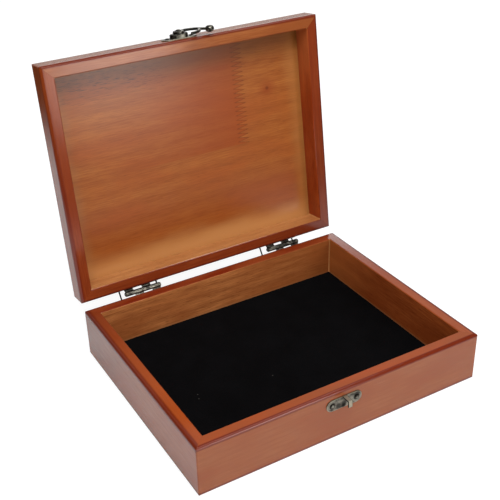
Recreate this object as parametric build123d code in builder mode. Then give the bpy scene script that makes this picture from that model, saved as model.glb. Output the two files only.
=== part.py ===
from build123d import *
import os
from math import asin, cos, degrees, radians, sin

# A keepsake box of stained wood: a mitred tray with a felt floor, a mitred lid
# that hangs on two barrel hinges with wire stays, and a swing-hook latch.
# Millimetres, +Z up, +X along the length, -Y is the front with the latch.
# The origin is the centre of the box's underside. The lid is shown open,
# leaning on its stays, so everything on the lid is drawn on swung planes.

# Box and lid
box_length = 240.0
box_width = 190.0
box_height = 41.0
lid_height = 21.0
wall = 10.0
bottom_board_t = 4.5
lid_panel_t = 3.0
corner_round = 1.0
rim_round = 2.2
foot_round = 1.2
lid_top_round = 4.5
inner_rim_bevel = 0.6
rim_gap = 0.3

# Floor lining
card_t = 1.6
felt_t = 1.5
lining_gap = 0.3

# Hinges, alike on the left and the right
hinge_width = 30.6
hinge_left_in = 52.7
hinge_right_in = 51.7
hinge_offset = 3.35
leaf_t = 0.9
pin_d = 2.0
pin_fit = 0.05
knuckle_gap = 0.2
knuckle_count = 4
knuckle_curl = 290.0
jog_run = 2.6
tab_root = 3.2
pin_head_d = 3.2
pin_head_t = 0.6
pin_head_bevel = 0.25
pin_head_gap = 0.1

# Wire stays that stop the lid
lid_open_angle = 98.1
wire_d = 1.25
wire_fit = 0.075
wire_bend = 1.2
stay_side_gap = 0.825
stay_length = 25.4
stay_pivot_reach = 12.8
pivot_curl = 265.0
lip_fit = 0.25
lip_curl = 148.0
wire_end_gap = 0.3

# Nails
nail_d = 1.4
nail_length = 8.0
nail_head_d = 3.4
nail_head_h = 0.9
nail_fit = 0.05
nail_row_reach = 7.6
nail_row_pitch = 9.8

# Catch plate on the box front
latch_x = -3.5
catch_drop = 10.6
plate_length = 30.0
plate_width = 9.8
plate_t = 0.8
plate_bevel = 0.25
plate_nail_pitch = 20.7
tongue_width = 3.2
tongue_t = 0.9
tongue_drop = 5.2
tongue_bend = 0.7

# Latch on the lid front
latch_rise = 8.2
boss_length = 15.0
boss_width = 8.4
boss_height = 3.9
boss_wall = 0.9
boss_bevel = 0.6
rivet_d = 2.6
rivet_fit = 0.07
rivet_head_d = 5.0
rivet_head_h = 1.1
rivet_tail_d = 4.0
rivet_tail_t = 0.8
latch_play = 0.12
arm_t = 1.8
arm_width = 2.8
eye_d = 8.8
arm_bevel = 0.4
arm_crest = (9.5, 3.2)
arm_shoulder = (17.2, -1.8)
knob_at = (22.4, -9.8)
knob_d = 7.0
knob_t = 5.2
hook_band = 2.0
hook_slack = 0.3
hook_room = 1.28
hook_from_angle = -3.0
hook_to_angle = -76.0
arm_web_round = 0.8

# Places that follow from the sizes above
hinge_left_x = -box_length / 2 + hinge_left_in
hinge_right_x = box_length / 2 - hinge_right_in
hinge_y = box_width / 2 + hinge_offset
hinge_z = box_height + rim_gap / 2
lid_rim = box_height + rim_gap
lid_top = lid_rim + lid_height
floor_z = bottom_board_t + card_t
latch_z = lid_rim + latch_rise
catch_z = box_height - catch_drop
inner_length = box_length - 2 * wall
inner_width = box_width - 2 * wall
nail_r = nail_d / 2
barrel_curl_r = pin_d / 2 + pin_fit + leaf_t / 2
knuckle_pitch = hinge_width / knuckle_count
leaf_line = -hinge_offset + leaf_t / 2
leaf_face = -hinge_offset + leaf_t
wire_r = wire_d / 2
wire_line = leaf_face + wire_r + wire_fit
pivot_curl_r = wire_r + wire_fit + leaf_t / 2
lip_curl_r = wire_r + lip_fit + leaf_t / 2
stay_width = hinge_width + 2 * stay_side_gap + wire_d
beyond = 1.0

# The lid turns about the hinge line from closed to open
lid_swing = (
    Pos(0, hinge_y, hinge_z) * Rot(-lid_open_angle, 0, 0) * Pos(0, -hinge_y, -hinge_z)
)

# The stay's pivot on the open lid, and the stay's lean when its crossbar
# meets the face of the box leaf, both measured from the hinge line
opening = radians(lid_open_angle)
pivot_out = wire_line * cos(opening) + stay_pivot_reach * sin(opening)
pivot_up = -wire_line * sin(opening) + stay_pivot_reach * cos(opening)
stay_lean = asin((pivot_out - wire_line) / stay_length)
lip_reach = stay_length * cos(stay_lean) - pivot_up

# The hook just clears the underside of the catch's tongue and its bent end
tongue_top = catch_z + plate_width / 2
hook_r = latch_z - (tongue_top - tongue_t) + hook_slack + hook_band / 2
arm_seat = boss_height + latch_play
tongue_reach = arm_seat + arm_t + hook_room + tongue_t


def on_lid(plane):
    """The plane, given for the closed lid, swung open with it."""
    return Plane(lid_swing * plane.location)


def on_box(plane):
    """The plane as it is, for what stays on the box."""
    return plane


def write(piece, name):
    """Labels a finished piece and writes it to its own file."""
    piece.part.label = name
    export_step(piece.part, f"parts/{name}.step")


os.makedirs("parts", exist_ok=True)


def edged_form(place, low, height, low_round, high_round):
    """The outer form of a closed-off frame whose boards were rounded along before mitring.

    The place puts the plane on the box or the lid. Low is where the form starts.
    """
    with BuildPart() as form:
        with BuildSketch(place(Plane.XY.offset(low))):
            RectangleRounded(box_length, box_width, corner_round)
        extrude(amount=height)
        cross_sections = ((Plane.YZ, box_width, box_length), (Plane.XZ, box_length, box_width))
        for side, width, run in cross_sections:
            with BuildSketch(place(side)) as section:
                with Locations((0, low + height / 2)):
                    Rectangle(width, height)
                fillet(section.vertices().group_by(Axis.Y)[0], low_round)
                fillet(section.vertices().group_by(Axis.Y)[-1], high_round)
            extrude(amount=run, both=True, mode=Mode.INTERSECT)
    return form


# The outer forms of the tray and the lid, before they are cut into walls and boards
box_form = edged_form(on_box, 0, box_height, foot_round, rim_round)
lid_form = edged_form(on_lid, lid_rim, lid_height, rim_round, lid_top_round)


# Nails: one is turned, and the groups are placed on the faces they hold
with BuildPart() as nail:
    with BuildSketch(Plane.XZ):
        with BuildLine():
            crown = TangentArc((0, nail_head_h), (nail_head_d / 2, 0), tangent=(1, 0))
            Polyline(crown @ 1, (nail_r, 0), (nail_r, -nail_length), (0, -nail_length), crown @ 0)
        make_face()
    revolve(axis=Axis.Z)


def leaf_nail_places(hinge_x, side):
    """Where one leaf is nailed: side is +1 on the lid and -1 on the box."""
    return [
        Plane(
            (hinge_x + step * nail_row_pitch, hinge_y + leaf_face, hinge_z + side * nail_row_reach),
            z_dir=(0, 1, 0),
        )
        for step in (-1, 0, 1)
    ]


def plate_nail_places(height):
    """Where a front plate at this height is nailed."""
    return [
        Plane((latch_x + end * plate_nail_pitch / 2, -box_width / 2 - plate_t, height), z_dir=(0, -1, 0))
        for end in (-1, 1)
    ]


box_leaf_nails = leaf_nail_places(hinge_left_x, -1) + leaf_nail_places(hinge_right_x, -1)
lid_leaf_nails = [
    on_lid(place)
    for place in leaf_nail_places(hinge_left_x, 1) + leaf_nail_places(hinge_right_x, 1)
]
catch_nails = plate_nail_places(catch_z)
latch_nails = [on_lid(place) for place in plate_nail_places(latch_z)]

nail_groups = {
    "box_hinge_nails": box_leaf_nails,
    "lid_hinge_nails": lid_leaf_nails,
    "catch_plate_nails": catch_nails,
    "latch_plate_nails": latch_nails,
}
for group_name, places in nail_groups.items():
    with BuildPart() as nail_group:
        with Locations(*places):
            add(nail.part)
    write(nail_group, group_name)


def mitred_wall(form, seat, run, reach, nail_places):
    """One wall of a frame, cut from its form between two mitres and bored for its nails.

    The seat is the plane of the board that the wall stands on. Its z points at
    the rim, and its y points into the frame.
    """
    half = run / 2
    with BuildPart() as piece:
        with BuildSketch(seat):
            with BuildLine():
                Polyline(
                    (-half - beyond, -reach - beyond),
                    (half + beyond, -reach - beyond),
                    (half - wall, -reach + wall),
                    (-half + wall, -reach + wall),
                    close=True,
                )
            make_face()
        extrude(amount=box_height)
        add(form.part, mode=Mode.INTERSECT)
        rim_edges = piece.edges().group_by(Axis((0, 0, 0), seat.z_dir))[-1]
        chamfer(rim_edges.sort_by(Axis((0, 0, 0), seat.y_dir))[-1], inner_rim_bevel)
        if nail_places:
            with Locations(*nail_places):
                Cylinder(
                    radius=nail_r + nail_fit,
                    height=2 * (nail_length + nail_fit),
                    mode=Mode.SUBTRACT,
                )
    return piece


# The eight walls, by quarter turns: each frame's long front and back, and its short sides
box_seat = Plane.XY.offset(bottom_board_t)
lid_seat = on_lid(Plane((0, 0, lid_top - lid_panel_t), x_dir=(1, 0, 0), z_dir=(0, 0, -1)))
frames = (
    ("box", box_form, box_seat, ("front", "right", "back", "left"), catch_nails, box_leaf_nails),
    ("lid", lid_form, lid_seat, ("back", "right", "front", "left"), latch_nails, lid_leaf_nails),
)
for frame_name, form, seat, sides, front_nails, back_nails in frames:
    headings = (seat.x_dir, seat.y_dir, -seat.x_dir, -seat.y_dir)
    for quarter, side in enumerate(sides):
        along_length = quarter % 2 == 0
        frame_wall = mitred_wall(
            form,
            Plane(seat.origin, x_dir=headings[quarter], z_dir=seat.z_dir),
            box_length if along_length else box_width,
            box_width / 2 if along_length else box_length / 2,
            {"front": front_nails, "back": back_nails}.get(side, []),
        )
        write(frame_wall, f"{frame_name}_{side}_wall")

# The boards that close the tray below and the lid above
for board_name, form, seat in (
    ("bottom_board", box_form, box_seat),
    ("lid_panel", lid_form, lid_seat),
):
    with BuildPart() as board:
        with BuildSketch(seat):
            Rectangle(box_length + beyond, box_width + beyond)
        extrude(amount=-box_height)
        add(form.part, mode=Mode.INTERSECT)
    write(board, board_name)

# The lining: felt on a card that lies loose on the bottom board
with BuildPart() as lining_card:
    with BuildSketch(Plane.XY.offset(bottom_board_t)):
        Rectangle(inner_length - 2 * lining_gap, inner_width - 2 * lining_gap)
    extrude(amount=card_t)
write(lining_card, "lining_card")

with BuildPart() as felt_lining:
    with BuildSketch(Plane.XY.offset(floor_z)):
        Rectangle(inner_length - 2 * lining_gap, inner_width - 2 * lining_gap)
    extrude(amount=felt_t)
write(felt_lining, "felt_lining")


def hinge_leaf(seat, edge_reach, edge_curl_r, edge_curl, nail_places):
    """A leaf of sheet metal with its knuckles rolled at one edge and a curl at the other.

    The seat's origin is where the leaf's first knuckle begins on the hinge line,
    its x runs out from the wood and its y along the leaf, away from the hinge line.
    """
    with BuildPart() as leaf:
        for knuckle in range(0, knuckle_count, 2):
            start = knuckle * knuckle_pitch + knuckle_gap / 2
            with BuildSketch(seat.offset(start)):
                with BuildLine():
                    tab = Line((leaf_line, tab_root + leaf_t), (leaf_line, tab_root))
                    jog_middle = ((leaf_line - barrel_curl_r) / 2, tab_root - jog_run / 2)
                    jog_in = TangentArc(tab @ 1, jog_middle, tangent=(0, -1))
                    jog_out = TangentArc(
                        jog_in @ 1,
                        (-barrel_curl_r, tab_root - jog_run),
                        tangent=jog_in % 1,
                    )
                    Line(jog_out @ 1, (-barrel_curl_r, 0))
                    CenterArc((0, 0), barrel_curl_r, 180, knuckle_curl)
                trace(line_width=leaf_t)
            extrude(amount=knuckle_pitch - knuckle_gap)
        with BuildSketch(seat):
            with BuildLine():
                Line((leaf_line, tab_root), (leaf_line, edge_reach))
                CenterArc((leaf_line + edge_curl_r, edge_reach), edge_curl_r, 180, -edge_curl)
            trace(line_width=leaf_t)
        extrude(amount=hinge_width)
        with Locations(*nail_places):
            Cylinder(radius=nail_r + nail_fit, height=4 * leaf_t, mode=Mode.SUBTRACT)
    return leaf


def stay_wire(hinge_x):
    """A rectangle of wire from the lid leaf's curl down to the box leaf's lip."""
    half = stay_width / 2
    corners = [
        (wire_end_gap / 2, 0),
        (half, 0),
        (half, stay_length),
        (-half, stay_length),
        (-half, 0),
        (-wire_end_gap / 2, 0),
    ]
    pivot = Plane(
        (hinge_x, hinge_y + pivot_out, hinge_z + pivot_up),
        x_dir=(1, 0, 0),
        z_dir=(0, cos(stay_lean), -sin(stay_lean)),
    )
    with BuildPart() as stay:
        with BuildLine(pivot) as wire_path:
            FilletPolyline(*corners, radius=wire_bend)
        with BuildSketch(Plane(wire_path.line @ 0, z_dir=wire_path.line % 0)):
            Circle(wire_r)
        sweep(path=wire_path.line)
    return stay


def hinge_pin(hinge_x):
    """The pin through all four knuckles, with a low head at each end."""
    start_x = hinge_x - hinge_width / 2 - pin_head_gap
    length = hinge_width + 2 * pin_head_gap
    with BuildPart() as pin:
        with BuildSketch(Plane((start_x, hinge_y, hinge_z), z_dir=(1, 0, 0))):
            Circle(pin_d / 2)
        extrude(amount=length)
        for end_x, outward in ((start_x, -1), (start_x + length, 1)):
            with BuildSketch(Plane((end_x, hinge_y, hinge_z), z_dir=(outward, 0, 0))):
                Circle(pin_head_d / 2)
            extrude(amount=pin_head_t)
        chamfer(pin.edges().sort_by(Axis.X)[0], pin_head_bevel)
        chamfer(pin.edges().sort_by(Axis.X)[-1], pin_head_bevel)
    return pin


# Both hinges: two leaves, a pin and a stay each
for side, hinge_x in (("left", hinge_left_x), ("right", hinge_right_x)):
    lid_end = Plane((hinge_x - hinge_width / 2, hinge_y, hinge_z), x_dir=(0, 1, 0), z_dir=(1, 0, 0))
    box_end = Plane((hinge_x + hinge_width / 2, hinge_y, hinge_z), x_dir=(0, 1, 0), z_dir=(-1, 0, 0))
    lid_leaf = hinge_leaf(
        on_lid(lid_end),
        stay_pivot_reach,
        pivot_curl_r,
        pivot_curl,
        [on_lid(place) for place in leaf_nail_places(hinge_x, 1)],
    )
    box_leaf = hinge_leaf(
        box_end,
        lip_reach,
        lip_curl_r,
        lip_curl,
        leaf_nail_places(hinge_x, -1),
    )
    write(lid_leaf, f"{side}_hinge_lid_leaf")
    write(box_leaf, f"{side}_hinge_box_leaf")
    write(hinge_pin(hinge_x), f"{side}_hinge_pin")
    write(stay_wire(hinge_x), f"{side}_stay_wire")


# The catch plate, with the tongue bent out of its top edge and down
catch_face = Plane((latch_x, -box_width / 2, catch_z), x_dir=(1, 0, 0), z_dir=(0, -1, 0))
tongue_line = plate_width / 2 - tongue_t / 2
with BuildPart() as catch_plate:
    with BuildSketch(catch_face):
        SlotOverall(plate_length, plate_width)
    extrude(amount=plate_t)
    chamfer(catch_plate.faces().sort_by(Axis.Y)[0].edges(), plate_bevel)
    tongue_side = Plane(catch_face.origin, x_dir=(0, -1, 0), z_dir=(-1, 0, 0))
    with BuildSketch(tongue_side):
        with BuildLine():
            FilletPolyline(
                (tongue_t / 2, tongue_line - 2 * tongue_bend),
                (tongue_t / 2, tongue_line),
                (tongue_reach - tongue_t / 2, tongue_line),
                (tongue_reach - tongue_t / 2, tongue_line + tongue_t / 2 - tongue_drop),
                radius=tongue_bend,
            )
        trace(line_width=tongue_t)
    extrude(amount=tongue_width / 2, both=True)
    with Locations(*catch_nails):
        Cylinder(radius=nail_r + nail_fit, height=4 * plate_t, mode=Mode.SUBTRACT)
write(catch_plate, "catch_plate")

# The latch plate, with the hollow boss that lifts the arm over the catch
latch_face = on_lid(Plane((latch_x, -box_width / 2, latch_z), x_dir=(1, 0, 0), z_dir=(0, -1, 0)))
latch_out = Axis((0, 0, 0), latch_face.z_dir)
with BuildPart() as latch_plate:
    with BuildSketch(latch_face):
        SlotOverall(plate_length, plate_width)
    extrude(amount=plate_t)
    chamfer(latch_plate.faces().sort_by(latch_out)[-1].edges(), plate_bevel)
    with BuildSketch(latch_face):
        SlotOverall(boss_length, boss_width)
    extrude(amount=boss_height)
    chamfer(latch_plate.faces().sort_by(latch_out)[-1].edges(), boss_bevel)
    with BuildSketch(latch_face):
        SlotOverall(boss_length - 2 * boss_wall, boss_width - 2 * boss_wall)
    extrude(amount=boss_height - boss_wall, mode=Mode.SUBTRACT)
    with Locations(latch_face):
        Cylinder(radius=rivet_d / 2 + rivet_fit, height=3 * boss_height, mode=Mode.SUBTRACT)
    with Locations(*latch_nails):
        Cylinder(radius=nail_r + nail_fit, height=4 * plate_t, mode=Mode.SUBTRACT)
write(latch_plate, "latch_plate")

# The rivet, turned in one piece: its tail is spread inside the boss
rivet_head_seat = arm_seat + arm_t + latch_play
rivet_tail_seat = boss_height - boss_wall
rivet_side = Plane(latch_face.origin, x_dir=latch_face.x_dir, z_dir=-latch_face.y_dir)
with BuildPart() as latch_rivet:
    with BuildSketch(rivet_side):
        with BuildLine():
            rivet_crown = TangentArc(
                (0, rivet_head_seat + rivet_head_h),
                (rivet_head_d / 2, rivet_head_seat),
                tangent=(1, 0),
            )
            Polyline(
                rivet_crown @ 1,
                (rivet_d / 2, rivet_head_seat),
                (rivet_d / 2, rivet_tail_seat),
                (rivet_tail_d / 2, rivet_tail_seat),
                (rivet_tail_d / 2, rivet_tail_seat - rivet_tail_t),
                (0, rivet_tail_seat - rivet_tail_t),
                rivet_crown @ 0,
            )
        make_face()
    revolve(axis=Axis(latch_face.origin, latch_face.z_dir))
write(latch_rivet, "latch_rivet")

# The swing arm: an eye on the rivet, a curved horn to the knob, and the hook
hook_tip = (hook_r * cos(radians(hook_to_angle)), hook_r * sin(radians(hook_to_angle)))
arm_level = latch_face.offset(arm_seat)
with BuildPart() as latch_arm:
    with BuildSketch(arm_level) as arm_outline:
        Circle(eye_d / 2)
        with BuildLine():
            horn_rise = ThreePointArc((0, 0), arm_crest, arm_shoulder)
            TangentArc(horn_rise @ 1, knob_at, tangent=horn_rise % 1)
        trace(line_width=arm_width)
        with BuildLine():
            CenterArc((0, 0), hook_r, hook_to_angle, hook_from_angle - hook_to_angle)
        trace(line_width=hook_band)
        with Locations(hook_tip):
            Circle(hook_band / 2)
        horn_webs = arm_outline.vertices().sort_by_distance((0, 0))[:2]
        near_shoulder = arm_outline.vertices().sort_by_distance(arm_shoulder)[:3]
        hook_webs = near_shoulder.sort_by_distance((0, 0))[:2]
        fillet(horn_webs + hook_webs, arm_web_round)
    extrude(amount=arm_t)
    chamfer(latch_arm.faces().sort_by(latch_out)[-1].edges(), arm_bevel)
    knob_side = Plane(
        arm_level.from_local_coords((*knob_at, arm_t / 2)),
        x_dir=latch_face.x_dir,
        z_dir=-latch_face.y_dir,
    )
    with BuildSketch(knob_side):
        with BuildLine():
            knob_top = Line((0, knob_t / 2), ((knob_d - knob_t) / 2, knob_t / 2))
            knob_rim = ThreePointArc(
                knob_top @ 1,
                (knob_d / 2, 0),
                ((knob_d - knob_t) / 2, -knob_t / 2),
            )
            Polyline(knob_rim @ 1, (0, -knob_t / 2), knob_top @ 0)
        make_face()
    revolve(axis=Axis(knob_side.origin, latch_face.z_dir))
    with Locations(latch_face):
        Cylinder(radius=rivet_d / 2 + rivet_fit, height=4 * boss_height, mode=Mode.SUBTRACT)
write(latch_arm, "latch_arm")

# What the joints need: the stays' swing against the lid, and the two axes
stay_swing = lid_open_angle - degrees(stay_lean)
print(f"hinge line y {hinge_y:.3f} z {hinge_z:.3f}, lid swing {lid_open_angle:.3f} degrees")
print(f"stay pivot y {hinge_y + pivot_out:.4f} z {hinge_z + pivot_up:.4f}")
print(f"stay swing on the lid {stay_swing:.4f} degrees, ratio {stay_swing / lid_open_angle:.6f}")
print(f"lip reach {lip_reach:.3f}, hook radius {hook_r:.3f}")
print(f"latch axis {latch_face.z_dir} through {latch_face.origin}")
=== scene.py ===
import logging
from dataclasses import astuple, dataclass
from enum import Enum
from math import pi, radians
from typing import Any

import bpy
from mathutils import Matrix, Vector

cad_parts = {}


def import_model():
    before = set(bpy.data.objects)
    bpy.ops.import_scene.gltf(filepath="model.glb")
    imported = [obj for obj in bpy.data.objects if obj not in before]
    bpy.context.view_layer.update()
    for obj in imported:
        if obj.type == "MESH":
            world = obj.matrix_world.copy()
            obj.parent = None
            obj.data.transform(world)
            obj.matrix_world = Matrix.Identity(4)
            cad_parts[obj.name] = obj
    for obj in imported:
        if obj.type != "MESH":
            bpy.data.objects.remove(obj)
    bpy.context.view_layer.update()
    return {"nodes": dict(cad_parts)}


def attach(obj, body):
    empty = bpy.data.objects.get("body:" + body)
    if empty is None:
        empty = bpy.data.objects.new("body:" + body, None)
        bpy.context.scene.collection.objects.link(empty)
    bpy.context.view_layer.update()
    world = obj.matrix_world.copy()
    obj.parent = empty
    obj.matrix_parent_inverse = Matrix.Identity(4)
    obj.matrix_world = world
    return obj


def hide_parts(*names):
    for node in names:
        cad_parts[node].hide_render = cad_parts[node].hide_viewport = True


# A keepsake box of stained and lacquered wood, open, with a black felt floor,
# two small hinges with wire stays and a swing-hook latch. Metres throughout.

WHITE = "#FFFFFF"
SOFT = {"interpolation_type": "SMOOTHSTEP"}  # a range with soft ends
log = logging.getLogger("keepsake_box")

Socket = bpy.types.NodeSocket
Pair = tuple[float, float]
Point = tuple[float, float, float]


def linear(colour: str) -> tuple[float, float, float, float]:
    """Turns an sRGB hex colour into linear light.

    Args:
        colour: The colour as #RRGGBB.

    Returns:
        The linear red, green and blue, and an alpha of 1.
    """
    shares = [int(colour[at : at + 2], 16) / 255 for at in (1, 3, 5)]
    red, green, blue = (
        share / 12.92 if share <= 0.04045 else ((share + 0.055) / 1.055) ** 2.4
        for share in shares
    )
    return red, green, blue, 1.0


@dataclass(frozen=True)
class Graph:
    """The node tree of a material or of the world."""

    tree: bpy.types.NodeTree

    def add(self, kind: str, inputs: Any = (), **options: Any) -> Any:
        """Adds one node with its settings and links.

        Args:
            kind: The node's type name without its ShaderNode prefix.
            inputs: What goes into its inputs, in order or by name or number: a
                value, a hex colour, or the socket it is linked to.
            options: The node's own settings.

        Returns:
            The node's outputs.
        """
        node = self.tree.nodes.new(f"ShaderNode{kind}")
        for name, value in options.items():
            setattr(node, name, value)
        if not isinstance(inputs, dict):
            inputs = dict(enumerate(inputs))
        for name, value in inputs.items():
            if isinstance(value, Socket):
                self.tree.links.new(value, node.inputs[name])
            else:
                plain = linear(value) if isinstance(value, str) else value
                node.inputs[name].default_value = plain
        return node.outputs

    def overlap(self, *shares: Any) -> Any:
        """Finds how far several shares hold together.

        Args:
            shares: Numbers or sockets.

        Returns:
            Their product.
        """
        together = shares[0]
        for share in shares[1:]:
            together = self.add("Math", (together, share), operation="MULTIPLY")[0]
        return together

    def lay(self, colour: Any, stain: Any, *shares: Any) -> Socket:
        """Lays a stain over a colour where its shares hold together.

        Args:
            colour: The colour below, as hex or a socket.
            stain: The colour above, as hex or a socket.
            shares: How far it covers, each a number or a socket.

        Returns:
            The stained colour.
        """
        ends = {0: self.overlap(*shares), 6: colour, 7: stain}
        return self.add("Mix", ends, data_type="RGBA")[2]


def new_material(name: str) -> tuple[bpy.types.Material, Graph]:
    """Starts a material with nothing in it.

    Args:
        name: The material's name.

    Returns:
        The material and its empty node tree.
    """
    material = bpy.data.materials.new(name)
    material.use_nodes = True
    material.node_tree.nodes.clear()
    return material, Graph(material.node_tree)


def dress(piece: bpy.types.Object, material: bpy.types.Material) -> None:
    """Gives a piece one material, in place of those it has.

    Args:
        piece: The piece.
        material: The material.
    """
    if not piece.material_slots:
        piece.data.materials.append(material)
    for slot in piece.material_slots:
        slot.material = material
    log.info("%s is dressed in %s", piece.name, material.name)


@dataclass(frozen=True)
class Hang:
    """How the lid hangs: the hinge line and how far it stands open."""

    hinge_y: float = 0.09835
    hinge_z: float = 0.04115
    opening: float = radians(98.1)

    def shut_place(self, graph: Graph, here: Socket) -> Socket:
        """Finds where a point of the open lid is when the box is shut.

        Args:
            graph: The material's node tree.
            here: The point's place on the open lid.

        Returns:
            The point's place on the shut box.
        """
        line = Vector((0, self.hinge_y, self.hinge_z))
        swing = Matrix.Rotation(self.opening, 4, "X")
        turn = Matrix.Translation(line) @ swing @ Matrix.Translation(-line)
        moved = (here, turn.to_translation(), turn.to_euler())
        return graph.add("Mapping", moved)[0]


class Grain(Enum):
    """Which way a board's grain runs, as its turn to the length of the box."""

    LENGTHWISE = 0.0
    CROSSWISE = pi / 2


@dataclass(frozen=True)
class Stain:
    """The colours of stained wood: early wood, late wood, ruddy streaks, open pores."""

    early: str
    late: str
    ruddy: str
    pore: str


FRONT_FACE = Stain("#9D582D", "#8F4A21", "#93451B", "#7A3A16")
OUTSIDE = Stain("#A2572F", "#914521", "#98441F", "#6A2E10")
LID_TOP = Stain("#A86232", "#904C22", "#985026", "#602808")
LID_RIM = Stain("#94421C", "#7C2E0F", "#863412", "#521C06")
INSIDE = Stain("#CC8048", "#98562C", "#B06434", "#5E2C10")
SHADED_INSIDE = Stain("#B45E2C", "#8A401A", "#9E4C20", "#56220A")
DEEP_INSIDE = Stain("#BA4E1C", "#92320E", "#A23A11", "#5E1C06")
PANEL_INSIDE = Stain("#B06626", "#924A17", "#AA561B", "#5E2A0C")
HONEY_INSIDE = Stain("#CE9058", "#B0703E", "#BC7A46", "#7A4218")


@dataclass(frozen=True)
class Fade:
    """A colour that a board darkens or pales into towards one side; some of these are
    painted shade.
    """

    axis: str
    start: float
    end: float
    colour: str
    share: float
    inside: bool = True


# Paler towards the back.
PALER_AT_BACK = Fade("Y", -0.010, 0.085, "#D07A3E", 0.60)
# Paler towards the top of the open lid.
PALER_AT_TOP = Fade("Y", -0.020, -0.085, "#DC7A42", 0.62)
# Paler in a thin band at the foot of the inside, just above the felt.
PALE_AT_FOOT = Fade("Z", 0.0092, 0.0078, "#C48A58", 0.35)
DARK_AT_RIGHT = Fade("X", 0.000, 0.105, "#8E4A20", 0.50)
# Painted shade: the rims and outer faces of the side walls darker towards the back,
# where the open lid shades them.
LID_SHADE_AT_BACK = Fade("Y", -0.020, 0.095, "#64200C", 0.60, inside=False)
DARK_AT_FOOT = Fade("Y", -0.060, 0.060, "#5C1C08", 0.35, inside=False)
DARK_RIM_AT_RIGHT = Fade("X", 0.020, 0.110, "#561806", 0.45, inside=False)
WARM_AT_TOP = Fade("Y", 0.060, -0.090, "#A4521C", 0.30, inside=False)
PANEL_TONES_AND_SHADE = (
    Fade("Y", 0.016, 0.050, "#8C3A08", 0.40),
    Fade("Y", 0.062, 0.084, "#C2854C", 0.92),
    Fade("X", 0.092, 0.112, "#B87E44", 0.60),
    Fade("X", -0.096, -0.112, "#B27A48", 0.55),
    # Painted shade: darker towards the top of the open lid, where its front wall shades
    # the panel.
    Fade("Y", -0.062, -0.082, "#76420F", 0.68),
)


@dataclass(frozen=True)
class FingerJoint:
    """A comb joint that lengthens one strip of a glued-up panel.

    The strip's first board is cut from redder wood towards the comb.
    """

    at_x: float = 0.0500
    strip_edge_y: float = 0.0040
    pitch: float = 0.0038
    length: float = 0.0100
    line: float = 0.0011
    line_share: float = 0.60
    next_board: Point = (0.53, 0.0137, 0.0211)  # the step to it in the log
    redder_over: Pair = (-0.090, 0.040)
    red: str = "#963F0E"
    red_share: float = 0.62


@dataclass(frozen=True)
class OpenCorner:
    """The corner of the panel by the latch, where the pores stay open and dark."""

    from_front: Pair = (-0.052, -0.072)
    from_left: Pair = (0.010, -0.060)
    pores: Pair = (0.55, 0.67)
    shade: str = "#542C10"


@dataclass(frozen=True)
class Knot:
    """A pin knot in the panel, with the darker grain round it."""

    x: float = 0.0769
    y: float = -0.0386
    eye: Pair = (0.0022, 0.0004)
    eye_share: float = 0.60
    halo: Pair = (0.0120, 0.0)
    halo_share: float = 0.75
    ring: str = "#8E3C10"


@dataclass(frozen=True)
class GlueLine:
    """The line of a mitre, fine on the outside and wider and pale on the inside."""

    corner: float = 0.0250
    colour: str = "#E0A468"
    half_width: float = 0.00022
    wider_inside: float = 0.0005
    share: float = 0.25
    more_inside: float = 0.35


@dataclass(frozen=True)
class WoodPoint:
    """What a board is like at the shaded point, each as a socket."""

    graph: Graph
    axes: Any  # its x, y and z on the shut box
    inside: Socket  # 1 on the sheltered inside, 0 on rims and outer faces
    rings: Socket
    fibres: Socket
    blotch: Socket
    pores: Socket
    side: Socket | None  # the board's number, 0 to 2, in a jointed panel
    past_comb: Socket | None  # how far it is past the comb line, along the grain


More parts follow.
